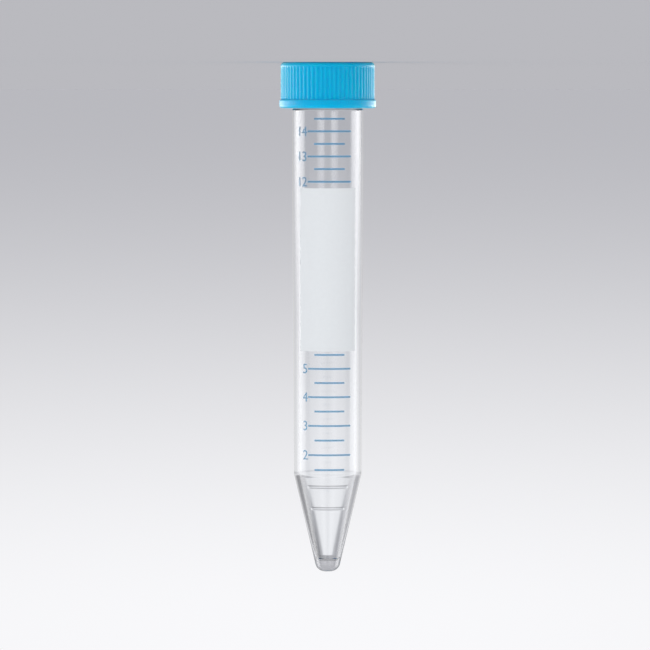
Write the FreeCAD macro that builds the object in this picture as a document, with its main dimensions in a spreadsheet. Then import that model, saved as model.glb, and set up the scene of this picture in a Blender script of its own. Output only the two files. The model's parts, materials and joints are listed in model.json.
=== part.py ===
# A 15 ml conical screw-cap tube that stands on its cap, as a parametric document, in millimetres.
#
# The tube is one clear moulding: mouth, threaded neck, straight stretch, drafted wall, cone and
# rounded solid tip. The cap is one blue moulding: fluted skirt, flange, flat top and plug seal.
# The white writing patch and the blue volume marks are thin layers of ink on the tube's front.
#
# Each piece is drawn in the tube's own frame, with the tip at the origin, the axis along +Z and
# the printed front towards +X. stand_on_cap() then turns it over: the flat top of the cap is on
# the floor at the origin, the tip points up and the front faces -Y.
import FreeCAD, Part
import math
import os

import Sketcher
from FreeCAD import Placement, Rotation, Vector

SIZES = [
    # tube, outside
    ("tube_length", 118.4, "tip to the rim of the mouth"),
    ("body_radius", 8.37, "straight stretch under the cap"),
    ("straight_length", 10.5, "straight stretch, from the drafted wall up to the neck"),
    ("shoulder_radius", 8.1, "where the wall meets the cone"),
    ("shoulder_height", 23.75, "from the tip"),
    ("tip_radius", 2.48, "cone's end, before it is rounded"),
    ("tip_round", 2.2, "rounding of the tip"),
    ("shoulder_round", 3.0, "rounding of the shoulder"),
    ("neck_step", 0.25, "neck is this much slimmer than the body"),
    ("neck_step_height", 0.25, "length of the sloping step"),
    ("neck_drop", 0.4, "neck starts this far below the cap"),
    ("rim_chamfer", 0.3, "both edges of the mouth"),
    # tube, inside
    ("neck_wall", 1.0, "wall of the straight stretch"),
    ("shoulder_wall", 1.35, "wall at the shoulder"),
    ("bore_shoulder_height", 22.8, "where the bore meets the cavity's cone, from the tip"),
    ("tip_floor", 2.7, "solid plastic under the cavity"),
    ("cavity_tip_radius", 1.75, "cavity's end, before it is rounded"),
    ("cavity_round", 1.4, "rounding of the cavity's end"),
    # neck thread, one start, right-handed
    ("thread_pitch", 3.0, "rise in one turn"),
    ("thread_turns", 1.5, "turns of the ridge"),
    ("thread_height", 0.88, "crest above the body"),
    ("thread_root_width", 1.5, "ridge at its foot"),
    ("thread_crest_width", 0.6, "ridge at its crest"),
    ("thread_rim_gap", 2.0, "rim to the ridge's upper end"),
    # cap
    ("cap_height", 10.8, "open end to flat top"),
    ("cap_top_wall", 1.3, "flat top"),
    ("cap_top_chamfer", 0.6, "edge of the flat top"),
    ("thread_clearance", 0.3, "thread crest to the cap's bore"),
    ("skirt_wall", 1.45, "cap's bore to the rib tips"),
    ("flute_count", 66, "flutes round the skirt"),
    ("flute_depth", 0.28, "rib tip to flute floor"),
    ("flute_floor_width", 0.24, "across the floor of a flute"),
    ("flute_mouth_width", 0.62, "across a flute at the rib tips"),
    ("flute_end", 1.0, "flutes stop this far below the flat top"),
    ("flange_step", 0.35, "flange beyond the rib tips"),
    ("flange_height", 1.8, "smooth band at the open end"),
    ("flange_chamfer", 0.22, "outer edges of the flange"),
    ("bore_chamfer", 0.4, "lead-in of the cap's bore"),
    ("seal_clearance", 0.08, "plug seal to the tube's bore"),
    ("seal_wall", 0.8, "wall of the plug seal"),
    ("seal_depth", 2.0, "plug seal below the rim"),
    # print
    ("ink_thickness", 0.08, "every printed layer"),
    ("ink_clearance", 0.05, "printed layers off the wall, so that curved faces never cut"),
    ("patch_from", 5.5, "ml, the line below the writing patch"),
    ("patch_to", 12.0, "ml, the line above the writing patch"),
    ("patch_gap_below", 0.6, "line to the patch's lower edge"),
    ("patch_gap_above", 1.3, "patch's upper edge to the line"),
    ("patch_angle", 98.6, "degrees round the tube"),
    ("mark_width", 0.42, "thickness of a volume line"),
    ("long_mark_angle", 73.0, "degrees round the tube, each ml"),
    ("short_mark_angle", 50.0, "degrees round the tube, each half ml"),
    ("mark_turn", 3.0, "degrees from the front to the middle of the lines"),
    ("first_mark", 1.5, "ml"),
    ("last_mark", 14.5, "ml"),
    # lines moulded into the cone, for volumes too small to print
    ("cone_mark_height", 0.15, "ridge above the cone"),
    ("cone_mark_width", 0.45, "ridge along the tube"),
    ("cone_mark_angle", 78.0, "degrees round the cone"),
    ("cone_marks_top", 1.0, "ml at the upper ridge"),
    ("cone_marks_base", 0.5, "ml at the lower ridge"),
]

MARK_STEP = 0.5  # ml between two volume lines
CUBIC_MM_PER_ML = 1000.0
SAME = 1e-4  # two lengths this close are one

doc = FreeCAD.newDocument("conical_tube")


def make_sheet():
    sheet = doc.addObject("Spreadsheet::Sheet", "Sizes")
    for row, (alias, value, note) in enumerate(SIZES, start=1):
        sheet.set(f"A{row}", alias)
        sheet.set(f"B{row}", str(value))
        sheet.setAlias(f"B{row}", alias)
        sheet.set(f"C{row}", note)
    doc.recompute()
    return sheet


sizes = make_sheet()


def value_of(expression):
    """The number that an expression over the sheet's sizes comes to."""
    return float(sizes.evalExpression(expression.replace("Sizes.", "")))


# Lengths that several pieces share, as expressions over the sheet.
BORE_TOP = "(Sizes.body_radius - Sizes.neck_wall)"
BORE_SHOULDER = "(Sizes.shoulder_radius - Sizes.shoulder_wall)"
NECK_RADIUS = "(Sizes.body_radius - Sizes.neck_step)"
CREST_RADIUS = "(Sizes.body_radius + Sizes.thread_height)"
CAP_BASE = "(Sizes.tube_length + Sizes.cap_top_wall - Sizes.cap_height)"
NECK_BASE = f"({CAP_BASE} - Sizes.neck_drop)"
TAPER_TOP = f"({NECK_BASE} - Sizes.straight_length)"
CAP_BORE = f"({CREST_RADIUS} + Sizes.thread_clearance)"
RIB_RADIUS = f"({CAP_BORE} + Sizes.skirt_wall)"
FLANGE_RADIUS = f"({RIB_RADIUS} + Sizes.flange_step)"


def cone_radius(height):
    """Outside radius of the cone at a height."""
    rise = "(Sizes.shoulder_radius - Sizes.tip_radius) / Sizes.shoulder_height"
    return f"(Sizes.tip_radius + {rise} * {height})"


def wall_radius(height):
    """Outside radius above the shoulder: drafted, then straight."""
    if value_of(height) >= value_of(TAPER_TOP):
        return "Sizes.body_radius"
    widening = "(Sizes.body_radius - Sizes.shoulder_radius)"
    share = f"({height} - Sizes.shoulder_height) / ({TAPER_TOP} - Sizes.shoulder_height)"
    return f"(Sizes.shoulder_radius + {widening} * {share})"


def frustum_volume(low, high, length):
    return f"(pi * {length} * ({low}^2 + {low} * {high} + {high}^2) / 3)"


def fill_height(millilitres):
    """Height of the liquid's surface for a volume, with the rounding of the cavity's end left out."""
    end = "Sizes.cavity_tip_radius"
    cone_length = "(Sizes.bore_shoulder_height - Sizes.tip_floor)"
    wall_length = f"({TAPER_TOP} - Sizes.bore_shoulder_height)"
    cone = frustum_volume(end, BORE_SHOULDER, cone_length)
    wall = frustum_volume(BORE_SHOULDER, BORE_TOP, wall_length)
    volume = f"({millilitres} * {CUBIC_MM_PER_ML})"
    if value_of(volume) <= value_of(cone):
        slope = f"(({BORE_SHOULDER} - {end}) / {cone_length})"
        return rise_in_frustum("Sizes.tip_floor", end, slope, volume)
    if value_of(volume) <= value_of(f"{cone} + {wall}"):
        slope = f"(({BORE_TOP} - {BORE_SHOULDER}) / {wall_length})"
        left = f"({volume} - {cone})"
        return rise_in_frustum("Sizes.bore_shoulder_height", BORE_SHOULDER, slope, left)
    return f"({TAPER_TOP} + ({volume} - {cone} - {wall}) / (pi * {BORE_TOP}^2))"


def rise_in_frustum(base, radius, slope, volume):
    return f"({base} + (cbrt({radius}^3 + 3 * {slope} * {volume} / pi) - {radius}) / {slope})"


def origin_plane(body, role):
    return next(part for part in body.Origin.OriginFeatures if part.Role == role)


def new_body(label):
    body = doc.addObject("PartDesign::Body", label)
    body.AllowCompound = True
    return body


def new_sketch(body, name, plane="XZ_Plane"):
    sketch = body.newObject("Sketcher::SketchObject", name)
    sketch.AttachmentSupport = [(origin_plane(body, plane), "")]
    sketch.MapMode = "FlatFace"
    return sketch


def hold(sketch, direction, line, expression):
    """Holds the start of a line at a distance, either way, from the sketch's origin."""
    distance = value_of(expression)
    if distance == 0:
        axis = -2 if direction == "DistanceX" else -1
        sketch.addConstraint(Sketcher.Constraint("PointOnObject", line, 1, axis))
        return
    if distance < 0:
        constraint = Sketcher.Constraint(direction, line, 1, -1, 1, -distance)
        expression = f"-({expression})"
    else:
        constraint = Sketcher.Constraint(direction, -1, 1, line, 1, distance)
    number = sketch.addConstraint(constraint)
    sketch.setExpression(f"Constraints[{number}]", expression)


def draw_loop(sketch, corners):
    """A closed loop of straight lines through its corners, (radius, height) in a section."""
    first = sketch.GeometryCount
    points = [Vector(value_of(radius), value_of(height), 0) for radius, height in corners]
    for number, point in enumerate(points):
        following = points[(number + 1) % len(points)]
        sketch.addGeometry(Part.LineSegment(point, following), False)
    for number, (radius, height) in enumerate(corners):
        line = first + number
        following = first + (number + 1) % len(corners)
        sketch.addConstraint(Sketcher.Constraint("Coincident", line, 2, following, 1))
        hold(sketch, "DistanceX", line, radius)
        hold(sketch, "DistanceY", line, height)


def revolve(body, name, sketch, angle="360"):
    """Turns a sketch round the tube's axis, half of the angle to each side of the front."""
    feature = body.newObject("PartDesign::Revolution", name)
    feature.Profile = sketch
    feature.ReferenceAxis = (sketch, ["V_Axis"])
    feature.Midplane = True
    feature.setExpression("Angle", angle)
    doc.recompute()
    return feature


def circles_at(shape, radius, height):
    """Names of the shape's round edges of a radius at a height on the axis."""
    radius, height = value_of(radius), value_of(height)
    names = []
    for number, edge in enumerate(shape.Edges, start=1):
        curve = edge.Curve
        if not isinstance(curve, Part.Circle):
            continue
        if abs(curve.Radius - radius) < SAME and abs(curve.Center.z - height) < SAME:
            names.append(f"Edge{number}")
    return names


def dress(body, kind, base, name, size, circles):
    """Rounds (Fillet) or bevels (Chamfer) the round edges at (radius, height) places."""
    feature = body.newObject(f"PartDesign::{kind}", name)
    edges = [edge for radius, height in circles for edge in circles_at(base.Shape, radius, height)]
    feature.Base = (base, edges)
    feature.setExpression("Radius" if kind == "Fillet" else "Size", size)
    doc.recompute()
    return feature


def make_tube():
    body = new_body("tube")
    wall = new_sketch(body, "tube_section")
    draw_loop(wall, [
        ("0", "0"),
        ("Sizes.tip_radius", "0"),
        ("Sizes.shoulder_radius", "Sizes.shoulder_height"),
        ("Sizes.body_radius", TAPER_TOP),
        ("Sizes.body_radius", NECK_BASE),
        (NECK_RADIUS, f"({NECK_BASE} + Sizes.neck_step_height)"),
        (NECK_RADIUS, "Sizes.tube_length"),
        (BORE_TOP, "Sizes.tube_length"),
        (BORE_TOP, TAPER_TOP),
        (BORE_SHOULDER, "Sizes.bore_shoulder_height"),
        ("Sizes.cavity_tip_radius", "Sizes.tip_floor"),
        ("0", "Sizes.tip_floor"),
    ])
    tube = revolve(body, "tube_wall", wall)
    tube = dress(body, "Fillet", tube, "tip", "Sizes.tip_round", [("Sizes.tip_radius", "0")])
    tube = dress(body, "Fillet", tube, "shoulder", "Sizes.shoulder_round", [
        ("Sizes.shoulder_radius", "Sizes.shoulder_height"),
    ])
    tube = dress(body, "Fillet", tube, "cavity_end", "Sizes.cavity_round", [
        ("Sizes.cavity_tip_radius", "Sizes.tip_floor"),
    ])
    dress(body, "Chamfer", tube, "rim", "Sizes.rim_chamfer", [
        (NECK_RADIUS, "Sizes.tube_length"),
        (BORE_TOP, "Sizes.tube_length"),
    ])
    add_thread(body)
    for number, millilitres in enumerate(("Sizes.cone_marks_base", "Sizes.cone_marks_top")):
        add_cone_mark(body, f"cone_mark_{number}", fill_height(millilitres))
    return body


def add_thread(body):
    """The ridge that the cap screws down on."""
    rise = "Sizes.thread_pitch * Sizes.thread_turns"
    middle = f"(Sizes.tube_length - Sizes.thread_rim_gap - Sizes.thread_root_width / 2 - {rise})"
    sunk = f"({NECK_RADIUS} - Sizes.neck_wall / 4)"
    section = new_sketch(body, "thread_section")
    draw_loop(section, [
        (sunk, f"({middle} - Sizes.thread_root_width / 2)"),
        (CREST_RADIUS, f"({middle} - Sizes.thread_crest_width / 2)"),
        (CREST_RADIUS, f"({middle} + Sizes.thread_crest_width / 2)"),
        (sunk, f"({middle} + Sizes.thread_root_width / 2)"),
    ])
    helix = body.newObject("PartDesign::AdditiveHelix", "neck_thread")
    helix.Profile = section
    helix.ReferenceAxis = (section, ["V_Axis"])
    helix.Mode = "pitch-turns-angle"
    helix.setExpression("Pitch", "Sizes.thread_pitch")
    helix.setExpression("Turns", "Sizes.thread_turns")
    doc.recompute()


def add_cone_mark(body, name, height):
    """A low ridge across the front of the cone."""
    low = f"({height} - Sizes.cone_mark_width / 2)"
    high = f"({height} + Sizes.cone_mark_width / 2)"
    sink = "Sizes.shoulder_wall / 4"
    section = new_sketch(body, f"{name}_section")
    draw_loop(section, [
        (f"({cone_radius(low)} - {sink})", low),
        (f"({cone_radius(low)} + Sizes.cone_mark_height)", low),
        (f"({cone_radius(high)} + Sizes.cone_mark_height)", high),
        (f"({cone_radius(high)} - {sink})", high),
    ])
    revolve(body, name, section, "Sizes.cone_mark_angle")


def make_cap():
    """The cap in its own frame, with its open end at height 0."""
    body = new_body("cap")
    ceiling = "(Sizes.cap_height - Sizes.cap_top_wall)"
    seal_outer = f"({BORE_TOP} - Sizes.seal_clearance)"
    seal_inner = f"({seal_outer} - Sizes.seal_wall)"
    seal_end = f"({ceiling} - Sizes.seal_depth)"
    section = new_sketch(body, "cap_section")
    draw_loop(section, [
        ("0", "Sizes.cap_height"),
        (RIB_RADIUS, "Sizes.cap_height"),
        (RIB_RADIUS, "Sizes.flange_height"),
        (FLANGE_RADIUS, "Sizes.flange_height"),
        (FLANGE_RADIUS, "0"),
        (CAP_BORE, "0"),
        (CAP_BORE, ceiling),
        (seal_outer, ceiling),
        (seal_outer, seal_end),
        (seal_inner, seal_end),
        (seal_inner, ceiling),
        ("0", ceiling),
    ])
    cap = revolve(body, "cap_wall", section)
    cap = dress(body, "Chamfer", cap, "top_edge", "Sizes.cap_top_chamfer", [
        (RIB_RADIUS, "Sizes.cap_height"),
    ])
    cap = dress(body, "Chamfer", cap, "flange_edges", "Sizes.flange_chamfer", [
        (FLANGE_RADIUS, "Sizes.flange_height"),
        (FLANGE_RADIUS, "0"),
    ])
    cap = dress(body, "Chamfer", cap, "bore_lead_in", "Sizes.bore_chamfer", [(CAP_BORE, "0")])
    cut_flutes(body, cap)
    return body


def cut_flutes(body, cap):
    """Straight flutes with sloping sides, from the flange to just under the bevelled top edge."""
    floor = f"({RIB_RADIUS} - Sizes.flute_depth)"
    outside = f"({RIB_RADIUS} + Sizes.flute_depth)"
    floor_half = "(Sizes.flute_floor_width / 2)"
    outside_half = "(Sizes.flute_mouth_width - Sizes.flute_floor_width / 2)"
    cutter = new_sketch(body, "flute_section", "XY_Plane")
    cutter.setExpression("AttachmentOffset.Base.z", "Sizes.flange_height")
    draw_loop(cutter, [
        (floor, f"-{floor_half}"),
        (outside, f"-{outside_half}"),
        (outside, outside_half),
        (floor, floor_half),
    ])
    flute = body.newObject("PartDesign::Pocket", "flute")
    flute.Profile = cutter
    flute.Type = "Length"
    flute.setExpression("Length", "Sizes.cap_height - Sizes.flange_height - Sizes.flute_end")
    flute.Reversed = True
    doc.recompute()
    if flute.Shape.Volume >= cap.Shape.Volume:
        raise RuntimeError("the flute cuts nothing")

    flutes = body.newObject("PartDesign::PolarPattern", "flutes")
    flutes.Originals = [flute]
    flutes.Axis = (cutter, ["N_Axis"])
    flutes.Angle = 360
    flutes.setExpression("Occurrences", "Sizes.flute_count")
    body.Tip = flutes
    doc.recompute()


def ink_section(sketch, low, high):
    """Section of a printed layer on the tube's wall."""
    inside_low, inside_high = (
        f"({wall_radius(height)} + Sizes.ink_clearance)" for height in (low, high)
    )
    draw_loop(sketch, [
        (inside_low, low),
        (f"({inside_low} + Sizes.ink_thickness)", low),
        (f"({inside_high} + Sizes.ink_thickness)", high),
        (inside_high, high),
    ])


def make_patch():
    body = new_body("writing_patch")
    section = new_sketch(body, "patch_section")
    low = f"({fill_height('Sizes.patch_from')} + Sizes.mark_width / 2 + Sizes.patch_gap_below)"
    high = f"({fill_height('Sizes.patch_to')} - Sizes.mark_width / 2 - Sizes.patch_gap_above)"
    ink_section(section, low, high)
    revolve(body, "patch", section, "Sizes.patch_angle")
    return body


def make_marks():
    """A line at each half ml below the neck, but for the patch: long at a whole ml, else short."""
    body = new_body("volume_marks")
    long_lines = new_sketch(body, "long_lines")
    short_lines = new_sketch(body, "short_lines")
    patch_from, patch_to = value_of("Sizes.patch_from"), value_of("Sizes.patch_to")
    first = round(value_of("Sizes.first_mark") / MARK_STEP)
    last = round(value_of("Sizes.last_mark") / MARK_STEP)
    for millilitres in (step * MARK_STEP for step in range(first, last + 1)):
        height = fill_height(millilitres)
        low = f"({height} - Sizes.mark_width / 2)"
        high = f"({height} + Sizes.mark_width / 2)"
        if patch_from < millilitres < patch_to or value_of(high) >= value_of(NECK_BASE):
            continue
        ink_section(long_lines if millilitres.is_integer() else short_lines, low, high)
    revolve(body, "long_marks", long_lines, "Sizes.long_mark_angle")
    revolve(body, "short_marks", short_lines, "Sizes.short_mark_angle")
    return body


def stand_on_cap():
    """The placement that turns the tube over and rests the flat top of its cap on the floor."""
    height = value_of(f"{CAP_BASE} + Sizes.cap_height")
    return Placement(Vector(0, 0, height), Rotation(Vector(1, -1, 0), 180))


def main():
    stood = stand_on_cap()
    on_the_neck = Placement(Vector(0, 0, value_of(CAP_BASE)), Rotation())
    turned = Placement(Vector(), Rotation(Vector(0, 0, 1), value_of("Sizes.mark_turn")))
    places = {
        make_tube(): stood,
        make_cap(): stood.multiply(on_the_neck),
        make_patch(): stood,
        make_marks(): stood.multiply(turned),
    }
    for body, place in places.items():
        body.Placement = place
    doc.recompute()

    for thing in doc.Objects:
        if {"Invalid", "Error"} & set(thing.State):
            raise RuntimeError(f"{thing.Label} failed: {thing.State}")
    for body in places:
        if body.Shape.isNull() or not body.Shape.isValid():
            raise RuntimeError(f"{body.Label} has no valid shape")

    os.makedirs("parts", exist_ok=True)
    for body in places:
        body.Shape.exportStep(f"parts/{body.Label}.step")
        print(body.Label, round(body.Shape.Volume, 1), "mm3,", len(body.Shape.Solids), "solids")


main()
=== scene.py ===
# Clear 15 ml conical tube with a blue screw cap, standing on its cap.
# The shapes are drawn in the tube's own frame, in millimetres: tip at 0, axis up to the cap,
# printed front towards +X. toWorld turns them over onto the cap and into metres.
import json
import math

import bmesh
import bpy
from mathutils import Matrix, Quaternion, Vector


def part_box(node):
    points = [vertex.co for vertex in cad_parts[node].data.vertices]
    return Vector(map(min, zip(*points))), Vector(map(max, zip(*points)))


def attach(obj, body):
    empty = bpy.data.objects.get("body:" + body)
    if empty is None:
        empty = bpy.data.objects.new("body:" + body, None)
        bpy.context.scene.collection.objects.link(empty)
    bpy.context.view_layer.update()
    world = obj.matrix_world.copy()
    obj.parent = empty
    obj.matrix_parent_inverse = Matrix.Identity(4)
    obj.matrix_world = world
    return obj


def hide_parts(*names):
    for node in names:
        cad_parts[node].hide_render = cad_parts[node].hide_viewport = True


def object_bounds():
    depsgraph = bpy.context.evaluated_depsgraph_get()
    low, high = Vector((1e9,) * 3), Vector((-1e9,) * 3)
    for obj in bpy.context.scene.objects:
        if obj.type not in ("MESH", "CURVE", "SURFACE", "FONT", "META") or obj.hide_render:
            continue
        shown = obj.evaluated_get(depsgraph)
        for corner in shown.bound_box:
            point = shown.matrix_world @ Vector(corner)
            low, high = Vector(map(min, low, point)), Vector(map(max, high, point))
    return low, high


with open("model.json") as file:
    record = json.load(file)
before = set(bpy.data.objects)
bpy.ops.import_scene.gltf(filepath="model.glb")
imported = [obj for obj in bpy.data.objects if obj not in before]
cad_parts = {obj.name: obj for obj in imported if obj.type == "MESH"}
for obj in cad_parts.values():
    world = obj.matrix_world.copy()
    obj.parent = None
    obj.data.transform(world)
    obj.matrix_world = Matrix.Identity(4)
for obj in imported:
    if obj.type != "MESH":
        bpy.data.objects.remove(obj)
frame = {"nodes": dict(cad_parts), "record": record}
cadLow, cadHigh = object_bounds()
mounts = {mount["name"]: mount for mount in frame["record"]["mounts"]}
mm = 0.001
closest = 1e-5  # mm, points nearer than this are one
totalHeight = cadHigh.z / mm
toWorld = Matrix(((0, -mm, 0, 0), (-mm, 0, 0, 0), (0, 0, -mm, cadHigh.z), (0, 0, 0, 1)))


camera = {
    "distance": 1.3,  # m from the tube's axis
    "height": 0.007,  # m, low, to look level at the cap
    "fieldWidth": 0.1526,  # m seen at the tube
    "aimAboveTip": 0.058,  # m
    "aimAside": 0.00063,  # m
    "nearest": 0.05,  # m, nothing closer shows
    "farthest": 50,  # m
}


# The tube stands on its cap, so the camera hangs the other way up and shows the cap on top.
def makeCamera():
    data = bpy.data.cameras.new("camera")
    data.lens = data.sensor_width * camera["distance"] / camera["fieldWidth"]
    data.clip_start = camera["nearest"]
    data.clip_end = camera["farthest"]
    rig = bpy.data.objects.new("camera", data)
    aim = Vector((camera["aimAside"], 0, cadHigh.z - camera["aimAboveTip"]))
    rig.location = (camera["aimAside"], -camera["distance"], camera["height"])
    rig.rotation_mode = "QUATERNION"
    upright = (aim - rig.location).to_track_quat("-Z", "Y")
    rig.rotation_quaternion = upright @ Quaternion((0, 0, 1), math.pi)
    bpy.context.scene.collection.objects.link(rig)
    bpy.context.scene.camera = rig
    print("camera placed")


makeCamera()


def addObject(name, mesh):
    piece = bpy.data.objects.new(name, mesh)
    bpy.context.scene.collection.objects.link(piece)
    return piece


# How far from a corner its rounding starts, on both sides.
def cornerReach(corners, number):
    rounding = corners[number][2]
    if not rounding or number in (0, len(corners) - 1):
        return 0
    before, place, after = (Vector(corners[number + side][:2]) for side in (-1, 0, 1))
    return rounding * math.tan((place - before).angle(after - place) / 2)


# Points of a section through its corners. A corner is (radius, height, rounding, spacing):
# the rounding of the corner, and the longest gap between points on the way to the next one.
# Without a spacing a long straight has just one more point near each end, for its shading.
def sectionThrough(corners, arcSteps, support=0.12):
    points = []
    for number, (_, _, rounding, spacing) in enumerate(corners):
        place, reach = Vector(corners[number][:2]), cornerReach(corners, number)
        leave = place
        if reach:
            into = (place - Vector(corners[number - 1][:2])).normalized()
            out = (Vector(corners[number + 1][:2]) - place).normalized()
            turn = into.angle(out)
            arrive, leave = place - into * reach, place + out * reach
            side = math.copysign(1, into.x * out.y - into.y * out.x)
            centre = arrive + Vector((-into.y, into.x)) * side * rounding
            for step in range(arcSteps + 1):
                angle = side * turn * step / arcSteps
                points.append(centre + Matrix.Rotation(angle, 2) @ (arrive - centre))
        else:
            points.append(place)
        if number == len(corners) - 1:
            break
        # the rest of the straight, up to where the next corner's rounding starts
        following = Vector(corners[number + 1][:2])
        stop = following - (following - place).normalized() * cornerReach(corners, number + 1)
        run = stop - leave
        if spacing:
            count = max(1, math.ceil(run.length / spacing))
            points += [leave + run * step / count for step in range(1, count)]
        elif run.length > 6 * support:
            step = run.normalized() * support
            points += [leave + step, stop - step]
        points.append(stop)
    clean = [points[0]]
    for point in points[1:]:
        if (point - clean[-1]).length > closest:
            clean.append(point)
    return clean


# Turns a section round the axis. shift(angle, radius, height) gives the radius there.
def turnSection(name, points, around, shift):
    mesh = bpy.data.meshes.new(name)
    vertices, rings, faces = [], [], []
    for point in points:
        first = len(vertices)
        if point.x < closest:
            vertices.append(toWorld @ Vector((0, 0, point.y)))
            rings.append([first])
            continue
        for step in range(around):
            angle = 2 * math.pi * step / around
            radius = shift(angle, point.x, point.y)
            place = Vector((radius * math.cos(angle), radius * math.sin(angle), point.y))
            vertices.append(toWorld @ place)
        rings.append(list(range(first, first + around)))
    for low, high in zip(rings, rings[1:]):
        for step in range(around):
            following = (step + 1) % around
            if len(low) == 1:
                faces.append((low[0], high[step], high[following]))
            elif len(high) == 1:
                faces.append((low[step], high[0], low[following]))
            else:
                faces.append((low[step], high[step], high[following], low[following]))
    mesh.from_pydata(vertices, [], faces)
    shaped = bmesh.new()
    shaped.from_mesh(mesh)
    bmesh.ops.recalc_face_normals(shaped, faces=shaped.faces)
    shaped.to_mesh(mesh)
    shaped.free()
    mesh.shade_smooth()
    return mesh


def smoothStep(low, high, value):
    share = min(1, max(0, (value - low) / (high - low)))
    return share * share * (3 - 2 * share)


# How far a thread's ridge stands up at a place, from 0 to 1.
def ridgeShare(angle, height, thread):
    share = 0
    for turn in range(math.ceil(thread["turns"]) + 1):
        travel = (angle + 2 * math.pi * turn) / (2 * math.pi)
        start = smoothStep(0, thread["runOut"], travel)
        end = smoothStep(0, thread["runOut"], thread["turns"] - travel)
        away = abs(height - thread["start"] - thread["pitch"] * travel)
        slope = 1 - smoothStep(thread["crestWidth"] / 2, thread["rootWidth"] / 2, away)
        share = max(share, start * end * slope)
    return share


def newFinish(name):
    material = bpy.data.materials.new(name)
    material.use_nodes = True
    nodes = material.node_tree.nodes
    nodes.clear()
    return material, nodes, material.node_tree.links


def addNode(nodes, kind, **modes):
    node = nodes.new(kind)
    for name, mode in modes.items():
        setattr(node, name, mode)
    return node


clearPlastic = {
    "tint": (0.957, 0.966, 0.975, 1),
    "ior": 1.59,
    "roughness": 0.015,
    "shade": (0.95, 0.96, 0.965, 1),  # of the light that passes on to other things
    "flow": (700, 700, 6),  # faint marks per metre, drawn out along the moulding
    "flowDetail": 2,
    "flowStrength": 0.03,
    "flowDepth": 0.0002,  # m
}


def clearFinish():
    material, nodes, links = newFinish("clearPolystyrene")
    shader = addNode(nodes, "ShaderNodeBsdfPrincipled")
    shader.inputs["Base Color"].default_value = clearPlastic["tint"]
    shader.inputs["IOR"].default_value = clearPlastic["ior"]
    shader.inputs["Roughness"].default_value = clearPlastic["roughness"]
    shader.inputs["Transmission Weight"].default_value = 1
    place = addNode(nodes, "ShaderNodeTexCoord")
    stretch = addNode(nodes, "ShaderNodeMapping")
    stretch.inputs["Scale"].default_value = clearPlastic["flow"]
    flow = addNode(nodes, "ShaderNodeTexNoise")
    flow.inputs["Scale"].default_value = 1
    flow.inputs["Detail"].default_value = clearPlastic["flowDetail"]
    bump = addNode(nodes, "ShaderNodeBump")
    bump.inputs["Strength"].default_value = clearPlastic["flowStrength"]
    bump.inputs["Distance"].default_value = clearPlastic["flowDepth"]
    links.new(place.outputs["Object"], stretch.inputs["Vector"])
    links.new(stretch.outputs["Vector"], flow.inputs["Vector"])
    links.new(flow.outputs["Fac"], bump.inputs["Height"])
    links.new(bump.outputs["Normal"], shader.inputs["Normal"])
    # light for other surfaces passes straight through
    path = addNode(nodes, "ShaderNodeLightPath")
    lightOnly = addNode(nodes, "ShaderNodeMath", operation="MAXIMUM")
    letThrough = addNode(nodes, "ShaderNodeBsdfTransparent")
    letThrough.inputs["Color"].default_value = clearPlastic["shade"]
    either = addNode(nodes, "ShaderNodeMixShader")
    output = addNode(nodes, "ShaderNodeOutputMaterial")
    links.new(path.outputs["Is Shadow Ray"], lightOnly.inputs[0])
    links.new(path.outputs["Is Diffuse Ray"], lightOnly.inputs[1])
    links.new(lightOnly.outputs["Value"], either.inputs["Fac"])
    links.new(shader.outputs["BSDF"], either.inputs[1])
    links.new(letThrough.outputs["BSDF"], either.inputs[2])
    links.new(either.outputs["Shader"], output.inputs["Surface"])
    return material


bluePlastic = {
    "colour": (0.0, 0.405, 0.655, 1),
    "paler": (0.002, 0.43, 0.685, 1),
    "cloud": 260,  # per metre, where the two colours change
    "roughness": 0.5,
    "ior": 1.53,
    "gloss": 0.08,  # weak, as the skin is waxy
    "spread": 0.0025,  # m that light spreads inside
    "spreadByColour": (0.3, 0.7, 1.0),
    "bloom": 0.2,  # the waxy sheen where the skin turns away
    "bloomRoughness": 0.5,
    "bloomTint": (0.9, 1.0, 0.6, 1),
    "grain": 9000,  # per metre
    "grainStrength": 0.12,
    "grainDepth": 0.00003,  # m
}


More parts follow.
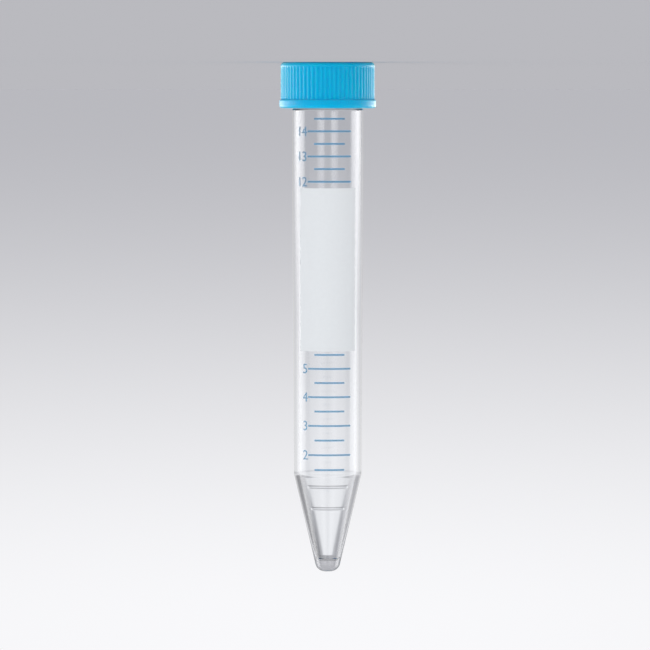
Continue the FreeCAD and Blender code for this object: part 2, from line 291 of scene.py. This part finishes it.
def capFinish():
    material, nodes, links = newFinish("bluePolyethylene")
    shader = addNode(nodes, "ShaderNodeBsdfPrincipled")
    shader.inputs["Roughness"].default_value = bluePlastic["roughness"]
    shader.inputs["IOR"].default_value = bluePlastic["ior"]
    shader.inputs["Specular IOR Level"].default_value = bluePlastic["gloss"]
    shader.inputs["Subsurface Weight"].default_value = 1
    shader.inputs["Subsurface Radius"].default_value = bluePlastic["spreadByColour"]
    shader.inputs["Subsurface Scale"].default_value = bluePlastic["spread"]
    shader.inputs["Sheen Weight"].default_value = bluePlastic["bloom"]
    shader.inputs["Sheen Roughness"].default_value = bluePlastic["bloomRoughness"]
    shader.inputs["Sheen Tint"].default_value = bluePlastic["bloomTint"]
    place = addNode(nodes, "ShaderNodeTexCoord")
    cloud = addNode(nodes, "ShaderNodeTexNoise")
    cloud.inputs["Scale"].default_value = bluePlastic["cloud"]
    blend = addNode(nodes, "ShaderNodeMix", data_type="RGBA")
    blend.inputs["A"].default_value = bluePlastic["colour"]
    blend.inputs["B"].default_value = bluePlastic["paler"]
    grain = addNode(nodes, "ShaderNodeTexNoise")
    grain.inputs["Scale"].default_value = bluePlastic["grain"]
    bump = addNode(nodes, "ShaderNodeBump")
    bump.inputs["Strength"].default_value = bluePlastic["grainStrength"]
    bump.inputs["Distance"].default_value = bluePlastic["grainDepth"]
    output = addNode(nodes, "ShaderNodeOutputMaterial")
    links.new(place.outputs["Object"], cloud.inputs["Vector"])
    links.new(place.outputs["Object"], grain.inputs["Vector"])
    links.new(cloud.outputs["Fac"], blend.inputs["Factor"])
    links.new(blend.outputs["Result"], shader.inputs["Base Color"])
    links.new(grain.outputs["Fac"], bump.inputs["Height"])
    links.new(bump.outputs["Normal"], shader.inputs["Normal"])
    links.new(shader.outputs["BSDF"], output.inputs["Surface"])
    return material


ink = {
    "blueThin": (0.01, 0.34, 0.62, 1),
    "blueThick": (0.01, 0.28, 0.53, 1),
    "blueRoughness": 0.4,
    "blueCover": 0.48,  # of one side of the film, so that two sides let a quarter through
    "whiteThin": (0.79, 0.82, 0.84, 1),
    "whiteThick": (0.83, 0.86, 0.88, 1),
    "whiteRoughness": 0.55,
    "whiteCover": 1,
    "mottle": 1400,  # per metre
    "mottleDetail": 4,
    "mottleStrength": 0.15,
    "mottleDepth": 0.00002,  # m
}


# Printed ink: a film with a faintly uneven tone and surface.
def inkFinish(colour):
    material, nodes, links = newFinish(colour + "Ink")
    shader = addNode(nodes, "ShaderNodeBsdfPrincipled")
    shader.inputs["Roughness"].default_value = ink[colour + "Roughness"]
    shader.inputs["Alpha"].default_value = ink[colour + "Cover"]
    place = addNode(nodes, "ShaderNodeTexCoord")
    mottle = addNode(nodes, "ShaderNodeTexNoise")
    mottle.inputs["Scale"].default_value = ink["mottle"]
    mottle.inputs["Detail"].default_value = ink["mottleDetail"]
    tone = addNode(nodes, "ShaderNodeMix", data_type="RGBA")
    tone.inputs["A"].default_value = ink[colour + "Thin"]
    tone.inputs["B"].default_value = ink[colour + "Thick"]
    bump = addNode(nodes, "ShaderNodeBump")
    bump.inputs["Strength"].default_value = ink["mottleStrength"]
    bump.inputs["Distance"].default_value = ink["mottleDepth"]
    output = addNode(nodes, "ShaderNodeOutputMaterial")
    links.new(place.outputs["Object"], mottle.inputs["Vector"])
    links.new(mottle.outputs["Fac"], tone.inputs["Factor"])
    links.new(tone.outputs["Result"], shader.inputs["Base Color"])
    links.new(mottle.outputs["Fac"], bump.inputs["Height"])
    links.new(bump.outputs["Normal"], shader.inputs["Normal"])
    links.new(shader.outputs["BSDF"], output.inputs["Surface"])
    return material


rack = mounts["rack_fit"]
rackMiddle = totalHeight - rack["pos_m"][2] / mm
rackHalf = rack["dims"]["length_mm"] / 2
tube = {
    "around": 240,
    "arcSteps": 10,
    "tipSpacing": 0.3,  # longest gap between the rings there
    "coneSpacing": 0.1,
    "neckSpacing": 0.14,
    "rimSpacing": 0.1,
    "cavitySpacing": 0.2,
    "length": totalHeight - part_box("tube")[0].z / mm,
    "bodyRadius": rack["dims"]["r_mm"],
    "straightFrom": rackMiddle - rackHalf,
    "straightTo": rackMiddle + rackHalf,
    "taperRounding": 12,
    "neckRadius": 8.12,
    "neckSlope": 0.25,
    "neckRounding": 0.15,
    "boreRadius": 7.37,
    "rimRounding": 0.28,
    "shoulder": (7.97, 22.95),  # radius and height, as in the pairs below
    "shoulderRounding": 5.0,
    "boreShoulder": (6.80, 23.0),
    "boreShoulderRounding": 3.0,
    "tip": (2.48, 0.0),
    "tipRounding": 2.2,
    "cavityEnd": (1.75, 2.7),
    "cavityRounding": 1.4,
    "threadHeight": 1.13,
    "thread": {"start": 111.15, "pitch": 3.0, "turns": 1.5, "rootWidth": 1.5, "crestWidth": 0.6,
               "runOut": 0.06},  # the run-out in turns
    "mouldedLines": (15.16, 20.3),
    "mouldedLineHeight": 0.035,
    "mouldedLineCrest": 0.3,
    "mouldedLineFoot": 0.72,
    "mouldedLineAngle": 39,  # degrees to each side of the front
    "mouldedLineRunOut": 1.5,  # degrees
}


def outsideShift(angle, radius, height):
    if height > tube["straightTo"]:
        return radius + tube["threadHeight"] * ridgeShare(angle, height, tube["thread"])
    fromFront = math.degrees(min(angle, 2 * math.pi - angle))
    fullTo = tube["mouldedLineAngle"] - tube["mouldedLineRunOut"]
    sideways = 1 - smoothStep(fullTo, tube["mouldedLineAngle"], fromFront)
    crest, foot = tube["mouldedLineCrest"] / 2, tube["mouldedLineFoot"] / 2
    for line in tube["mouldedLines"]:
        along = 1 - smoothStep(crest, foot, abs(height - line))
        radius += tube["mouldedLineHeight"] * along * sideways
    return radius


def roundedPlace(radius, height):
    return round(radius, 6), round(height, 6)


def makeTube():
    rim = ((tube["neckRadius"] + tube["boreRadius"]) / 2, tube["length"])
    slopeEnd = tube["straightTo"] + tube["neckSlope"]
    outside = sectionThrough([
        (0, tube["tip"][1], 0, tube["tipSpacing"]),
        (*tube["tip"], tube["tipRounding"], tube["coneSpacing"]),
        (*tube["shoulder"], tube["shoulderRounding"], None),
        (tube["bodyRadius"], tube["straightFrom"], tube["taperRounding"], None),
        (tube["bodyRadius"], tube["straightTo"], tube["neckRounding"], tube["rimSpacing"]),
        (tube["neckRadius"], slopeEnd, tube["neckRounding"], tube["neckSpacing"]),
        (tube["neckRadius"], tube["length"], tube["rimRounding"], tube["rimSpacing"]),
        (*rim, 0, None),
    ], tube["arcSteps"])
    inside = sectionThrough([
        (*rim, 0, tube["rimSpacing"]),
        (tube["boreRadius"], tube["length"], tube["rimRounding"], None),
        (tube["boreRadius"], tube["straightFrom"], tube["taperRounding"], None),
        (*tube["boreShoulder"], tube["boreShoulderRounding"], None),
        (*tube["cavityEnd"], tube["cavityRounding"], tube["cavitySpacing"]),
        (0, tube["cavityEnd"][1], 0, None),
    ], tube["arcSteps"])
    onOutside = {roundedPlace(*point) for point in outside}

    # thread and moulded lines are on the outside alone
    def shift(angle, radius, height):
        if roundedPlace(radius, height) in onOutside:
            return outsideShift(angle, radius, height)
        return radius

    mesh = turnSection("clearTube", outside + inside[1:], tube["around"], shift)
    piece = addObject("clearTube", mesh)
    mesh.materials.append(clearFinish())
    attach(piece, "tube")
    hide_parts("tube")
    print("tube turned:", len(outside), "rings outside,", len(inside), "inside")


makeTube()


shelf = mounts["cap_shelf"]
cap = {
    "height": shelf["pos_m"][2] / mm,
    "arcSteps": 7,
    "skirtSpacing": 0.25,  # longest gap between the rings there
    "ledgeSpacing": 0.06,
    "boreSpacing": 0.2,
    "ribRadius": 11.0,
    "flangeRadius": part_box("cap")[1].x / mm,
    "flangeHeight": 1.8,
    "flangeRounding": 0.7,
    "ledgeFillet": 0.3,
    "ledgeRounding": 0.15,
    "topRounding": 0.9,
    "ribs": 66,
    "stepsPerRib": 8,
    "fluteDepth": 0.17,
    "fluteFloor": 0.12,  # width
    "fluteMouth": 0.90,  # width
    "fluteEnd": 1.0,  # below the flat top
    "fluteRunOut": 0.25,
    "boreRadius": 9.55,
    "boreRounding": 0.4,
    "topWall": 1.3,
    "sealOutside": 7.29,
    "sealInside": 6.49,
    "sealDepth": 2.0,
    "innerRounding": 0.3,
    "threadHeight": 0.95,
    "thread": {"start": 0.95, "pitch": 3.0, "turns": 2.0, "rootWidth": 1.3, "crestWidth": 0.45,
               "runOut": 0.06},  # start from the open end, run-out in turns
}


def makeCap():
    base = totalHeight - cap["height"]
    top, ceiling = cap["height"], cap["height"] - cap["topWall"]
    sealEnd, inner = ceiling - cap["sealDepth"], cap["innerRounding"]
    corners = [
        (0, top, 0, None),
        (cap["ribRadius"], top, cap["topRounding"], cap["skirtSpacing"]),
        (cap["ribRadius"], cap["flangeHeight"] + cap["ledgeFillet"], 0, cap["ledgeSpacing"]),
        (cap["flangeRadius"], cap["flangeHeight"], cap["ledgeRounding"], None),
        (cap["flangeRadius"], 0, cap["flangeRounding"], None),
        (cap["boreRadius"], 0, cap["boreRounding"], cap["boreSpacing"]),
        (cap["boreRadius"], ceiling, inner, None),
        (cap["sealOutside"], ceiling, inner, None),
        (cap["sealOutside"], sealEnd, inner, None),
        (cap["sealInside"], sealEnd, inner, None),
        (cap["sealInside"], ceiling, inner, None),
        (0, ceiling, 0, None),
    ]
    section = sectionThrough(corners, cap["arcSteps"])
    points = [Vector((point.x, point.y + base)) for point in section]
    pitch = 2 * math.pi / cap["ribs"]
    fluteTo = base + top - cap["fluteEnd"]
    near = 1e-4  # mm, on the same wall

    # flutes on the skirt, thread in the bore
    def shift(angle, radius, height):
        along = height - base
        if abs(radius - cap["ribRadius"]) < near and along >= cap["flangeHeight"] - near:
            away = abs((angle + pitch / 2) % pitch - pitch / 2) * cap["ribRadius"]
            flute = 1 - smoothStep(cap["fluteFloor"] / 2, cap["fluteMouth"] / 2, away)
            ends = 1 - smoothStep(fluteTo - cap["fluteRunOut"], fluteTo, height)
            return radius - cap["fluteDepth"] * flute * ends
        if abs(radius - cap["boreRadius"]) < near:
            return radius - cap["threadHeight"] * ridgeShare(angle, along, cap["thread"])
        return radius

    mesh = turnSection("screwCap", points, cap["ribs"] * cap["stepsPerRib"], shift)
    piece = addObject("screwCap", mesh)
    mesh.materials.append(capFinish())
    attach(piece, "cap")
    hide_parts("cap")
    print("cap turned:", len(points), "rings,", cap["ribs"], "flutes")
    return piece


screwCap = makeCap()


numbers = {
    "labels": ("2", "3", "4", "5", "12", "13", "14"),  # long lines, from the tip up
    "size": 3.2,  # mm, of the letters' body
    "gap": 0.15,  # mm, to the line
    "lift": 0.05,  # mm, off the wall
    "film": 0.04,  # mm, thickness
    "slice": 0.25,  # mm, so that a number follows the wall's curve
    "longLine": 60,  # degrees, shorter lines have no number
    "lineGap": 1,  # mm, more than a line is thick
    "curveSteps": 6,  # to each curve of a number
    "weld": 1e-7,  # m, corners nearer than this are one
}


# The printed lines in the frame, as (height, left angle, right angle), from the tip up.
def printedLines():
    fromWorld = toWorld.inverted()
    corners = frame["nodes"]["volume_marks"].data.vertices
    places = sorted((fromWorld @ corner.co for corner in corners), key=lambda place: place.z)
    groups = [[places[0]]]
    for place in places[1:]:
        if place.z - groups[-1][-1].z > numbers["lineGap"]:
            groups.append([])
        groups[-1].append(place)
    lines = []
    for group in groups:
        angles = [math.atan2(place.y, place.x) for place in group]
        middle = (group[0].z + group[-1].z) / 2
        lines.append((middle, min(angles), max(angles)))
    return lines


def wallRadius(height):
    share = (height - tube["shoulder"][1]) / (tube["straightFrom"] - tube["shoulder"][1])
    widening = tube["bodyRadius"] - tube["shoulder"][0]
    return tube["shoulder"][0] + widening * min(1, share)


# Cuts flat letters into upright slices and bends them round the wall.
def wrapLetters(letters, height, left):
    wrapped = bmesh.new()
    wrapped.from_mesh(letters)
    along = [corner.co.x for corner in wrapped.verts]
    rise = [corner.co.y for corner in wrapped.verts]
    middle = (min(rise) + max(rise)) / 2
    for step in range(math.floor(min(along) / numbers["slice"]) + 1, 0):
        everything = wrapped.verts[:] + wrapped.edges[:] + wrapped.faces[:]
        cut = (step * numbers["slice"], 0, 0)
        bmesh.ops.bisect_plane(wrapped, geom=everything, plane_co=cut, plane_no=(1, 0, 0))
    wall = wallRadius(height)
    for corner in wrapped.verts:
        angle = left + (corner.co.x - numbers["gap"]) / wall
        radius = wall + numbers["lift"] + numbers["film"] / 2 + corner.co.z
        up = height + corner.co.y - middle
        corner.co = toWorld @ Vector((radius * math.cos(angle), radius * math.sin(angle), up))
    wrapped.to_mesh(letters)
    wrapped.free()


def makeNumbers(finish):
    longLines = [
        line for line in printedLines()
        if math.degrees(line[2] - line[1]) > numbers["longLine"]
    ]
    joined = bmesh.new()
    for label, (height, left, _) in zip(numbers["labels"], longLines):
        text = bpy.data.curves.new("number", "FONT")
        text.body = label
        text.size = numbers["size"]
        text.align_x = "RIGHT"
        text.align_y = "CENTER"
        text.extrude = numbers["film"] / 2
        text.resolution_u = numbers["curveSteps"]
        holder = addObject("number", text)
        bpy.context.view_layer.update()
        letters = bpy.data.meshes.new_from_object(
            holder.evaluated_get(bpy.context.evaluated_depsgraph_get()))
        wrapLetters(letters, height, left)
        joined.from_mesh(letters)
        bpy.data.objects.remove(holder)
        bpy.data.curves.remove(text)
        bpy.data.meshes.remove(letters)
    bmesh.ops.remove_doubles(joined, verts=joined.verts, dist=numbers["weld"])
    bmesh.ops.recalc_face_normals(joined, faces=joined.faces)
    mesh = bpy.data.meshes.new("volumeNumbers")
    joined.to_mesh(mesh)
    joined.free()
    mesh.materials.append(finish)
    piece = addObject("volumeNumbers", mesh)
    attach(piece, "tube")
    print("numbers printed:", len(longLines))


def printTube():
    blue, white = inkFinish("blue"), inkFinish("white")
    for node, finish in (("volume_marks", blue), ("writing_patch", white)):
        for slot in frame["nodes"][node].material_slots:
            slot.material = finish
    makeNumbers(blue)


printTube()


# Directions are in degrees from straight behind the tube, 180 being the camera's side, and
# slopes are heights of a direction of length 1.
studio = {
    "floor": (0.634, 0.634, 0.673, 1),
    "floorSize": 30,  # m
    "paleFrom": 0.098,  # slope at which the backdrop is at its palest
    "stripsFrom": 0.012,  # slopes between which the lower gloss gives way to the higher
    "stripsTo": 0.045,
    "crownFrom": 0.5,  # slopes between which the gloss fades upwards
    "crownTo": 0.75,
    "leanFrom": 0.105,  # slopes between which the backdrop's lean sets in
    "leanTo": 0.18,
    "leanReach": 0.5,  # how far to each side it goes, for a direction of length 1
    "slopeScale": 0.5,  # slope at the far end of the backdrop's tones
    "turnScale": 180,  # degrees at the far end of all that goes by direction
    "glossScale": 7,  # brightness that the strips' full white stands for
    "glossAbove": 1,  # the same, overhead
    "fillLevel": 1.75,  # at the horizon
    "fillAbove": 0.45,  # overhead
    "softLight": 1.0,
    "softLightFrom": (0.3, -0.94, 0.16),
    "softLightSpread": 60,  # degrees
    "panelsFrom": 0.005,  # m above the floor
    "bounces": 64,  # light runs far along the clear wall
    "clearLayers": 24,  # that light for other surfaces may pass
}
# The backdrop's tone, as slope: colour
backdropTones = {
    0: (0.487, 0.487, 0.520, 1),
    0.098: (0.945, 0.945, 0.965, 1),
    0.103: (0.945, 0.945, 0.965, 1),
    0.125: (0.56, 0.56, 0.59, 1),
    0.26: (0.44, 0.44, 0.465, 1),
}
# The dark part above it is paler on one side, as share of the way across: share
backdropLean = {0: 1, 0.45: 0.86, 0.55: 0.82, 1: 0.62}
# The pale part is a little darker to both sides, as direction: share
backdropSides = {0: 1, 8: 0.96, 20: 0.82, 30: 0.89, 42: 1}
# What gloss shows of the studio, as direction: brightness, level with the cap and above it
lowGloss = {0: 0.5, 38: 0.8, 48: 2.2, 56: 4.0, 64: 6.0, 74: 6.2, 84: 5.0, 92: 4.4, 98: 2.4,
            103: 0.2, 143: 0.1, 150: 2.2, 158: 3.6, 165: 3.4, 173: 0.3, 180: 0.1}
highGloss = {0: 1.0, 18: 0.6, 36: 0.6, 48: 0.4, 54: 0.7, 60: 0.9, 66: 2.1, 72: 4.1, 78: 4.0,
             84: 3.4, 90: 2.6, 96: 2.1, 102: 0.5, 108: 0, 114: 0, 120: 0.8, 132: 1.1, 144: 1.3,
             150: 1.6, 156: 2.0, 162: 1.8, 168: 1.5, 174: 1.0, 180: 0.5}
# Soft panels for the cap alone: degrees from the camera, towards +X, distance, width and height
# in m, power in W, and whether gloss or dull surfaces catch them.
panels = {
    "capLeft": (118, 0.42, 0.60, 0.12, 5.0, "gloss"),
    "capRight": (-134, 0.42, 0.40, 0.12, 3.6, "gloss"),
    "capFrontLeft": (40, 0.42, 0.30, 0.09, 0.30, "dull"),
    "capFrontRight": (-70, 0.42, 0.30, 0.09, 0.10, "dull"),
}


def makeFloor():
    half = studio["floorSize"] / 2
    mesh = bpy.data.meshes.new("floor")
    corners = [(-half, -half, 0), (half, -half, 0), (half, half, 0), (-half, half, 0)]
    mesh.from_pydata(corners, [], [(0, 1, 2, 3)])
    floor = addObject("floor", mesh)
    material, nodes, links = newFinish("paleFloor")
    shader = addNode(nodes, "ShaderNodeBsdfDiffuse")
    shader.inputs["Color"].default_value = studio["floor"]
    output = addNode(nodes, "ShaderNodeOutputMaterial")
    links.new(shader.outputs["BSDF"], output.inputs["Surface"])
    mesh.materials.append(material)
    print("floor laid")


# A ramp of greys or colours over a value, from a dictionary of its stops.
def addRamp(nodes, links, value, stops, reach, scale=1):
    ramp = addNode(nodes, "ShaderNodeValToRGB")
    ramp.color_ramp.interpolation = "EASE"
    places = ramp.color_ramp.elements
    for number, (stop, tone) in enumerate(stops.items()):
        place = places[number] if number < 2 else places.new(1)
        place.position = stop / reach
        place.color = tone if isinstance(tone, tuple) else (tone / scale,) * 3 + (1,)
    links.new(value, ramp.inputs["Fac"])
    return ramp.outputs["Color"]


# A value's share of the way from low to high, within 0 and 1, or between two other ends.
def addReach(nodes, links, value, low, high, ends=(0, 1)):
    reach = addNode(nodes, "ShaderNodeMapRange")
    reach.inputs["From Min"].default_value = low
    reach.inputs["From Max"].default_value = high
    reach.inputs["To Min"].default_value = ends[0]
    reach.inputs["To Max"].default_value = ends[1]
    links.new(value, reach.inputs["Value"])
    return reach.outputs["Result"]


# One colour shaded by another, by the given factor.
def addShaded(nodes, links, factor, colour, shade):
    shaded = addNode(nodes, "ShaderNodeMix", data_type="RGBA", blend_type="MULTIPLY")
    links.new(factor, shaded.inputs["Factor"])
    links.new(colour, shaded.inputs["A"])
    links.new(shade, shaded.inputs["B"])
    return shaded.outputs["Result"]


# Direction from straight behind, 0 to 1 for both sides alike.
def addTurn(nodes, links, split):
    aside = addNode(nodes, "ShaderNodeMath", operation="ABSOLUTE")
    angle = addNode(nodes, "ShaderNodeMath", operation="ARCTAN2")
    links.new(split.outputs["X"], aside.inputs[0])
    links.new(aside.outputs["Value"], angle.inputs[0])
    links.new(split.outputs["Y"], angle.inputs[1])
    return addReach(nodes, links, angle.outputs["Value"], 0, math.pi)


def addBackdrop(nodes, links, split, turn):
    height = split.outputs["Z"]
    slope = addReach(nodes, links, height, 0, studio["slopeScale"])
    tone = addRamp(nodes, links, slope, backdropTones, studio["slopeScale"])
    rise = addReach(nodes, links, height, 0, studio["paleFrom"])
    side = addRamp(nodes, links, turn, backdropSides, studio["turnScale"])
    across = addReach(nodes, links, split.outputs["X"], -studio["leanReach"], studio["leanReach"])
    beyond = addReach(nodes, links, height, studio["leanFrom"], studio["leanTo"])
    lean = addRamp(nodes, links, across, backdropLean, 1)
    shaded = addShaded(nodes, links, rise, tone, side)
    backdrop = addNode(nodes, "ShaderNodeBackground")
    links.new(addShaded(nodes, links, beyond, shaded, lean), backdrop.inputs["Color"])
    return backdrop.outputs["Background"]


# Soft strips round the tube, for gloss.
def addGloss(nodes, links, split, turn):
    height = split.outputs["Z"]
    above = addReach(nodes, links, height, studio["stripsFrom"], studio["stripsTo"])
    strips = addNode(nodes, "ShaderNodeMix", data_type="RGBA")
    scales = (studio["turnScale"], studio["glossScale"])
    low = addRamp(nodes, links, turn, lowGloss, *scales)
    high = addRamp(nodes, links, turn, highGloss, *scales)
    links.new(above, strips.inputs["Factor"])
    links.new(low, strips.inputs["A"])
    links.new(high, strips.inputs["B"])
    levels = (studio["glossScale"], studio["glossAbove"])
    crown = addReach(nodes, links, height, studio["crownFrom"], studio["crownTo"], levels)
    gloss = addNode(nodes, "ShaderNodeBackground")
    links.new(crown, gloss.inputs["Strength"])
    links.new(strips.outputs["Result"], gloss.inputs["Color"])
    return gloss.outputs["Background"]


# An even fill for dull surfaces, weaker from above.
def addFill(nodes, links, split):
    levels = (studio["fillLevel"], studio["fillAbove"])
    fill = addNode(nodes, "ShaderNodeBackground")
    links.new(addReach(nodes, links, split.outputs["Z"], 0, 1, levels), fill.inputs["Strength"])
    return fill.outputs["Background"]


def makeWorld():
    world = bpy.data.worlds.new("studio")
    bpy.context.scene.world = world
    world.cycles.sampling_method = "NONE"
    world.use_nodes = True
    nodes, links = world.node_tree.nodes, world.node_tree.links
    nodes.clear()
    place = addNode(nodes, "ShaderNodeTexCoord")
    split = addNode(nodes, "ShaderNodeSeparateXYZ")
    links.new(place.outputs["Generated"], split.inputs["Vector"])
    turn = addTurn(nodes, links, split)
    backdrop = addBackdrop(nodes, links, split, turn)
    # the last that applies to a ray is what it meets
    path = addNode(nodes, "ShaderNodeLightPath")
    meets = backdrop
    for kind, sight in (
        ("Is Glossy Ray", addGloss(nodes, links, split, turn)),
        ("Is Transmission Ray", backdrop),
        ("Is Diffuse Ray", addFill(nodes, links, split)),
    ):
        choice = addNode(nodes, "ShaderNodeMixShader")
        links.new(path.outputs[kind], choice.inputs["Fac"])
        links.new(meets, choice.inputs[1])
        links.new(sight, choice.inputs[2])
        meets = choice.outputs["Shader"]
    output = addNode(nodes, "ShaderNodeOutputWorld")
    links.new(meets, output.inputs["Surface"])
    print("backdrop hung")


def addLamp(name, kind, place, aim):
    data = bpy.data.lights.new(name, kind)
    lamp = bpy.data.objects.new(name, data)
    lamp.location = place
    lamp.rotation_mode = "QUATERNION"
    lamp.rotation_quaternion = (Vector(aim) - lamp.location).to_track_quat("-Z", "Y")
    bpy.context.scene.collection.objects.link(lamp)
    return lamp


def lightStudio():
    softLight = addLamp("softLight", "SUN", studio["softLightFrom"], (0, 0, 0))
    softLight.data.energy = studio["softLight"]
    softLight.data.angle = math.radians(studio["softLightSpread"])
    softLight.visible_glossy = False
    softLight.visible_transmission = False
    for name, (degrees, distance, width, height, power, catches) in panels.items():
        turn = math.radians(degrees)
        middle = height / 2 + studio["panelsFrom"]
        place = (distance * math.sin(turn), -distance * math.cos(turn), middle)
        panel = addLamp(name, "AREA", place, (0, 0, middle))
        panel.data.shape = "RECTANGLE"
        panel.data.size = width
        panel.data.size_y = height
        panel.data.energy = power
        panel.visible_camera = False
        panel.visible_diffuse = catches == "dull"
        panel.visible_glossy = catches == "gloss"
        lit = bpy.data.collections.new(name + "Lit")
        lit.objects.link(screwCap)
        panel.light_linking.receiver_collection = lit
    print("studio lit")


makeFloor()
makeWorld()
lightStudio()
bpy.context.scene.view_settings.view_transform = "Standard"
paths = bpy.context.scene.cycles
paths.max_bounces = studio["bounces"]
paths.transmission_bounces = studio["bounces"]
paths.glossy_bounces = studio["bounces"]
paths.transparent_max_bounces = studio["clearLayers"]
